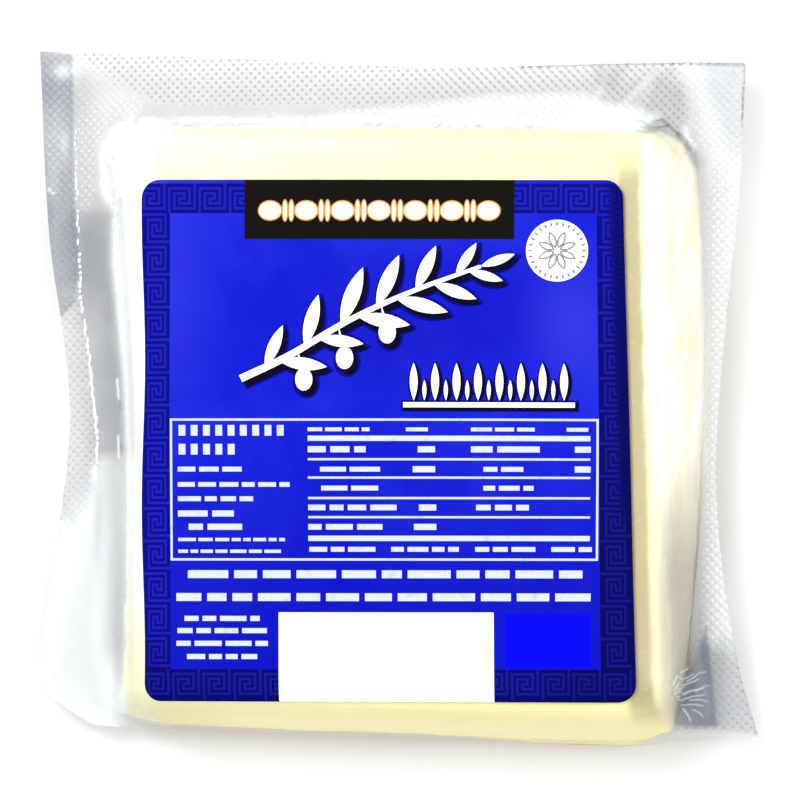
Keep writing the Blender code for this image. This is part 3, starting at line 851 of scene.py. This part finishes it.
def make_label():
    """The label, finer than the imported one, with a slightly wavy left edge."""
    label = smooth_copy("label_sheet", "label", 1)
    middle = (LABEL_CORNERS[0][0] + LABEL_CORNERS[2][0]) / 2 * MM
    for vert in label.data.vertices:
        x, y = vert.co.x, vert.co.y
        near_left = max(0, (middle - x) / (middle - LABEL_CORNERS[0][0] * MM))
        vert.co.x += LABEL_WAVE * near_left**6 * math.sin(y / LABEL_WAVE_LENGTH + 1)
    dress(label, label_finish())
    return label


def key_lines(paint, along, over):
    """1 on the key border's line. Both places are in sixths of a cell."""
    mask = 0
    for (a, b), (c, d) in zip(KEY_PATH, KEY_PATH[1:]):
        near_along = paint.math("LESS_THAN", abs(along - (a + c) / 2), abs(a - c) / 2 + KEY_HALF_LINE)
        near_over = paint.math("LESS_THAN", abs(over - (b + d) / 2), abs(b - d) / 2 + KEY_HALF_LINE)
        mask = paint.math("MAXIMUM", near_along * near_over, mask)
    return mask


def border(paint, across, down):
    """Where the dark border lies, and where its key lines are."""
    slanted = across - down * RIGHT_BORDER_SLANT
    bottom = paint.math("GREATER_THAN", down, BORDER_BOTTOM)
    row = paint.math("MAXIMUM", paint.math("LESS_THAN", down, BORDER_TOP), bottom)
    right = paint.math("GREATER_THAN", slanted, BORDER_RIGHT)
    column = paint.math("MAXIMUM", paint.math("LESS_THAN", across, BORDER_LEFT), right)
    rim = paint.math("LESS_THAN", down, TOP_STRIP)

    def chosen(is_second, first, second):
        return first + is_second * (second - first)

    def sixths(place, key):
        start, sixth = key
        return (place - start) / sixth

    def cell(place, key):
        return (sixths(place, key) + KEY_HALF_LINE) % 6 - KEY_HALF_LINE

    row_along = chosen(bottom, cell(across, KEY_TOP_ALONG), cell(across, KEY_BOTTOM_ALONG))
    row_over = chosen(bottom, sixths(down, KEY_TOP_OVER), sixths(down, KEY_BOTTOM_OVER))
    column_along = cell(down, KEY_COLUMN_ALONG)
    column_over = chosen(right, sixths(across, KEY_LEFT_OVER), sixths(slanted, KEY_RIGHT_OVER))
    lines = key_lines(paint, chosen(row, column_along, row_along), chosen(row, column_over, row_over))
    dark = paint.math("MAXIMUM", row, column) * (1 - rim)
    return dark, lines * dark


def label_finish():
    """Blue print with a dark key border, a black band, a white field and soft mottling, with painted glare at
    the upper left, painted shade in its middle and over the border's right and lower parts.
    """
    paint = Finish("printed_blue")
    across, down = carried(plane_map(LABEL_CORNERS, PRINT_CORNERS), paint.x / MM, paint.y / MM)
    clouds = paint.noise(38, 4, 0.6)
    paint.colour = paint.mix(paint.step(clouds, 0.35, 0.7), BLUE_DEEP, BLUE)
    # Painted glare: paler blue at the upper left
    glare_paler = paint.step(across + clouds * 8, 24, 4) * paint.step(down, 62, 20)
    paler_right = paint.patch(across, down, (84, 28), (8, 13))
    paint.coat(glare_paler * 0.7, BLUE_PALE)
    paint.coat(paler_right * 0.9, BLUE_PALE)
    shaded = paint.patch(across, down, (52, 27), (24, 15))
    paint.coat(shaded * 0.55, BLUE_SHADED)
    paint.coat(paint.step(down, 40, 84) * 0.75, BLUE_LOW)
    dark, lines = border(paint, across, down)
    # Painted shade over the border: darker at the right where the label turns away, and towards the bottom
    shaded_right, shaded_low = paint.step(across + down * 0.25, 86, 112), paint.step(down, 80, 104)
    border_shade = paint.math("MAXIMUM", shaded_right, shaded_low * 0.75)
    ground = paint.mix(border_shade, BORDER_GROUND, BORDER_IN_SHADE)
    # Painted shade where the right border bends over the block's edge
    shaded_right_edge = paint.step(across - down * 0.03, 90, 92.5) * paint.step(down, 78, 62)
    line_colour = paint.mix(paint.math("MAXIMUM", border_shade * 0.62, shaded_right_edge), BORDER_LINE, BORDER_IN_SHADE)
    paint.coat(dark, paint.mix(lines, ground, line_colour))
    for box, soft, plain in ((BRIGHT_PATCH, 0.25, BLUE_BRIGHT), (BLACK_BAND, 0.1, BAND_BLACK),
                             (WHITE_FIELD, 0.08, FIELD_WHITE)):
        paint.coat(paint.field(across, down, box, soft), plain)
    bumps = paint.bump(paint.noise(260, 2), 0.05 * MM, 0.3)
    shader = paint.principled(Base_Color=paint.colour, Roughness=0.5, Specular_IOR_Level=0.03, Normal=bumps)
    return paint.surface(shader)


def ink_finish(name, colour, colour_worn):
    """Flat printing ink with slight unevenness."""
    paint = Finish(name)
    uneven = paint.step(paint.noise(420, 3, 0.6), 0.55, 0.8)
    shader = paint.principled(Base_Color=paint.mix(uneven, colour, colour_worn), Roughness=0.5,
                              Specular_IOR_Level=0.03)
    return paint.surface(shader)


# Flat shapes of ink, drawn in millimetres of the print, with down as Y

def bar(bm, left, top, right, bottom):
    """A rectangle, in short pieces so that it can follow the label."""
    pieces_across = max(1, round((right - left) / BAR_PIECE))
    pieces_down = max(1, round((bottom - top) / BAR_PIECE))
    made = bmesh.ops.create_grid(bm, x_segments=pieces_across, y_segments=pieces_down, size=0.5)["verts"]
    for vert in made:
        vert.co.x = left + (vert.co.x + 0.5) * (right - left)
        vert.co.y = top + (vert.co.y + 0.5) * (bottom - top)


def disc(bm, centre, width, height, sides=28):
    """A round or oval shape."""
    made = bmesh.ops.create_circle(bm, cap_ends=True, segments=sides, radius=0.5)["verts"]
    for vert in made:
        vert.co.xy = (centre[0] + vert.co.x * width, centre[1] + vert.co.y * height)


def leaf(bm, start, turn, length, width, grow=0):
    """A pointed leaf that runs from its start at an angle."""
    made = bmesh.ops.create_circle(bm, cap_ends=True, segments=24, radius=0.5)["verts"]
    cos, sin = math.cos(turn), math.sin(turn)
    for vert in made:
        share = vert.co.x + 0.5
        along = share * (length + grow) - grow / 2
        aside = vert.co.y * 2 * (width + grow) * math.sqrt(max(0, share * (1 - share)))
        vert.co.xy = (start[0] + along * cos - aside * sin, start[1] + along * sin + aside * cos)


def ribbon(bm, line, start_width, end_width, grow=0):
    """A strip along a smooth line, tapering from its start to its end."""
    steps = 40
    curve = smooth_side(line, steps) / MM
    made = bmesh.ops.create_grid(bm, x_segments=steps, y_segments=1, size=0.5)["verts"]
    for vert in made:
        i = round((vert.co.x + 0.5) * steps)
        run = curve[min(i + 1, steps)] - curve[max(i - 1, 0)]
        run = run / np.linalg.norm(run)
        width = start_width + (end_width - start_width) * i / steps + grow
        vert.co.xy = (curve[i][0] - run[1] * vert.co.y * width, curve[i][1] + run[0] * vert.co.y * width)


def draw_sprig(bm, shift, grow):
    """An olive sprig: its stem, leaves on both sides and three olives."""
    stem = [(x + shift[0], y + shift[1]) for x, y in SPRIG_STEM]
    ribbon(bm, stem, 1.5, 0.7, grow)
    curve = smooth_side(stem, 100) / MM
    for share, side, length, spread in SPRIG_LEAVES:
        start = curve[round(share * 100)]
        ahead = curve[min(100, round(share * 100) + 2)] - start if share < 1 else start - curve[96]
        turn = math.atan2(ahead[1], ahead[0]) + side * math.radians(spread)
        leaf(bm, start, turn, length, length * SPRIG_LEAF_WIDTH, grow)
    for share, side, away in SPRIG_OLIVES:
        start = curve[round(share * 100)]
        middle = (start[0] + side * 1.2, start[1] + side * away)
        leaf(bm, start, math.atan2(middle[1] - start[1], middle[0] - start[0]), away, 0.5, grow)
        disc(bm, middle, 3.4 + grow, 4.4 + grow)


def draw_frieze(bm, shift, grow):
    """A row of upright leaves, tall and short in turn, on a plain bar."""
    left, top, right, bottom = (place + shift[i % 2] for i, place in enumerate(FRIEZE))
    pitch = (right - left) / FRIEZE_LEAVES / 2
    half = grow / 2
    bar(bm, left - half, bottom - FRIEZE_BAR - half, right + half, bottom + half)
    foot = bottom - FRIEZE_BAR - 0.35
    for i in range(FRIEZE_LEAVES * 2 - 1):
        tall = i % 2 == 0
        length, width = (foot - top, 1.55) if tall else ((foot - top) * 0.55, 0.8)
        leaf(bm, (left + pitch * (i + 1), foot), -math.pi / 2, length, width, grow)


def draw_beads(bm, grow):
    """Bead and reel: long beads with two thin reels between them."""
    left, right = BEADS_ACROSS
    pitch = (right - left) / BEADS
    for i in range(BEADS):
        middle = left + pitch * (i + 0.5)
        disc(bm, (middle, BEADS_DOWN), 4.3 + grow, 3.5 + grow)
        for side in (-1, 1) if i < BEADS - 1 else ():
            disc(bm, (middle + pitch / 2 + side * 0.62, BEADS_DOWN), 0.75 + grow, 3.9 + grow)


def draw_words(bm, left, right, middle, height, dice):
    """A row of plain short bars in the place of a line of words."""
    at = left
    while right - at > height:
        width = min(right - at, height * dice.uniform(2.2, 5.5))
        if right - at - width < height * 2.5:
            width = right - at
        bar(bm, at, middle - height / 2, at + width, middle + height / 2)
        at += width + height * 0.75


def draw_table(bm):
    """The table's frame and its rules."""
    left, top, right, bottom = TABLE_FRAME
    edge = TABLE_LINE / 2
    for y in (top, bottom):
        bar(bm, left - edge, y - edge, right + edge, y + edge)
    for x in (left, right):
        bar(bm, x - edge, top + edge, x + edge, bottom - edge)
    for y, half in TABLE_RULES:
        bar(bm, TABLE_RULES_ACROSS[0], y - half, TABLE_RULES_ACROSS[1], y + half)


def draw_text_rows(bm):
    """Plain bars and blocks in the place of all the lines of words."""
    dice = random.Random(11)
    for left, right, middle, height in WORD_ROWS:
        draw_words(bm, left, right, middle, height, dice)
    for left, count, middle in HEADING_BLOCKS:
        for i in range(count):
            at = left + i * BLOCK_PITCH
            bar(bm, at, middle - BLOCK_HEIGHT / 2, at + BLOCK_WIDTH, middle + BLOCK_HEIGHT / 2)


def seal_ring(bm, count, first, radius, length, width):
    """Leaves that point outwards from a ring on the seal, the first one turned by a share of a step."""
    for i in range(count):
        turn = 2 * math.pi * (i + first) / count
        start = (SEAL_CENTRE[0] + radius * math.cos(turn), SEAL_CENTRE[1] + radius * math.sin(turn))
        leaf(bm, start, turn, length, width)


def print_ink(name, label_tree, lift, material, *drawings):
    """One piece of ink: drawings laid on the label, with a lift off it in millimetres."""
    bm = bmesh.new()
    for draw, *values in drawings:
        draw(bm, *values)
    to_model = plane_map(PRINT_CORNERS, LABEL_CORNERS)
    for vert in bm.verts:
        x, y = carried(to_model, vert.co.x, vert.co.y)
        vert.co = (x * MM, y * MM, height_on(label_tree, x * MM, y * MM) + lift * MM)
    extrude_up(bm, INK_THICKNESS)
    bmesh.ops.triangulate(bm, faces=bm.faces)
    bmesh.ops.recalc_face_normals(bm, faces=bm.faces)
    ink = new_piece(name, bm, material)
    ink.data.set_sharp_from_angle(angle=math.radians(40))
    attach(ink, "root")


def print_label(label):
    """All the ink that lies on the label's fields of colour, from the lowest layer to the highest."""
    tree = tree_of(label)
    halo = ink_finish("halo_blue", (0.0005, 0.0005, 0.2), (0.001, 0.001, 0.26))
    shadow = ink_finish("shadow_navy", (0.0004, 0.0004, 0.012), (0.0006, 0.0006, 0.03))
    white = ink_finish("ink_white", (0.86, 0.86, 0.86), (0.8, 0.81, 0.86))
    pale = ink_finish("ink_pale_blue", (0.5, 0.54, 0.86), (0.36, 0.4, 0.84))
    cream = ink_finish("ink_cream", (0.86, 0.8, 0.62), (0.84, 0.72, 0.45))
    gold = ink_finish("ink_gold", (0.62, 0.26, 0.04), (0.5, 0.19, 0.03))
    grey = ink_finish("ink_grey", (0.2, 0.2, 0.22), (0.34, 0.34, 0.36))
    print_ink("ink_halo", tree, 0.02, halo, (draw_sprig, (0.5, 0.6), 1.9),
              (draw_frieze, (0.2, 0.2), 1.2))
    print_ink("ink_shadow", tree, 0.05, shadow, (draw_sprig, (0.75, 0.95), 0.45),
              (draw_frieze, (0.35, 0.4), 0.55))
    print_ink("ink_white_marks", tree, 0.08, white, (draw_sprig, (0, 0), 0),
              (draw_frieze, (0, 0), 0), (disc, SEAL_CENTRE, SEAL_WIDTH, SEAL_WIDTH, 64))
    print_ink("ink_table", tree, 0.03, pale, (draw_table,), (draw_text_rows,))
    print_ink("ink_bead_edges", tree, 0.03, gold, (draw_beads, 0.55))
    print_ink("ink_beads", tree, 0.06, cream, (draw_beads, 0))
    print_ink("ink_seal_marks", tree, 0.12, grey, (seal_ring, SEAL_DASHES, 0, 4.75, 0.95, 0.42),
              (seal_ring, SEAL_PETALS, 0.5, 0.5, 3.5, 1.5))
    print_ink("ink_seal_petals", tree, 0.15, white, (seal_ring, SEAL_PETALS, 0.5, 0.95, 2.6, 0.85))


# ---- Stage ----

def make_floor():
    """A pale floor for the shadow."""
    bm = bmesh.new()
    bmesh.ops.create_grid(bm, x_segments=2, y_segments=2, size=2)
    paint = Finish("pale_floor")
    pale = paint.surface(paint.principled(Base_Color=FLOOR_COLOUR, Roughness=0.9))
    floor = new_piece("floor", bm, pale)


def make_camera():
    """The photo's view: from above, leaning to the right and down, and slightly rolled."""
    back = Vector((
        math.sin(CAMERA_LEAN_RIGHT) * math.cos(CAMERA_LEAN_DOWN),
        -math.sin(CAMERA_LEAN_DOWN),
        math.cos(CAMERA_LEAN_RIGHT) * math.cos(CAMERA_LEAN_DOWN),
    )).normalized()
    right = (-back).cross(Vector((0, 1, 0))).normalized()
    up = right.cross(-back)
    cos, sin = math.cos(CAMERA_ROLL), math.sin(CAMERA_ROLL)
    right, up = right * cos + up * sin, up * cos - right * sin
    data = bpy.data.cameras.new("camera")
    data.lens = LENS
    data.sensor_width = 36
    data.clip_end = 10
    camera = placed("camera", data)
    matrix = Matrix((right, up, back)).transposed().to_4x4()
    matrix.translation = AIM + back * CAMERA_DISTANCE
    camera.matrix_world = matrix
    bpy.context.scene.camera = camera


def area_light(name, place, target, size, power):
    data = bpy.data.lights.new(name, "AREA")
    data.shape = "RECTANGLE"
    data.size, data.size_y = size
    data.energy = power
    light = placed(name, data)
    light.location = place
    light.rotation_euler = (Vector(target) - Vector(place)).to_track_quat("-Z", "Y").to_euler()


def light_stage():
    """White light from all round, a key light at the upper left and a weak one at the right."""
    world = bpy.data.worlds.new("studio")
    world.use_nodes = True
    sky = world.node_tree.nodes["Background"].inputs
    sky["Color"].default_value = (1, 1, 1, 1)
    sky["Strength"].default_value = WORLD_LIGHT
    bpy.context.scene.world = world
    area_light("key", *KEY_LIGHT)
    area_light("side", *SIDE_LIGHT)
    bpy.context.scene.view_settings.view_transform = "Standard"


surface = smooth_copy("surface_guide", "pouch", RENDER_LEVELS)
surface_tree = tree_of(surface)
bpy.data.objects.remove(surface)

film = make_film(surface_tree)
cheese = make_cheese()
label = make_label()
seam = make_seam()
print_label(label)
stand_ins = ((film, "pouch", "film"), (cheese, "pouch", "cheese"), (label, "label", "label_print"))
for piece, node, slot in stand_ins:
    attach(piece, "root")
    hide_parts(node)
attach(seam, "root")

make_floor()
make_camera()
light_stage()
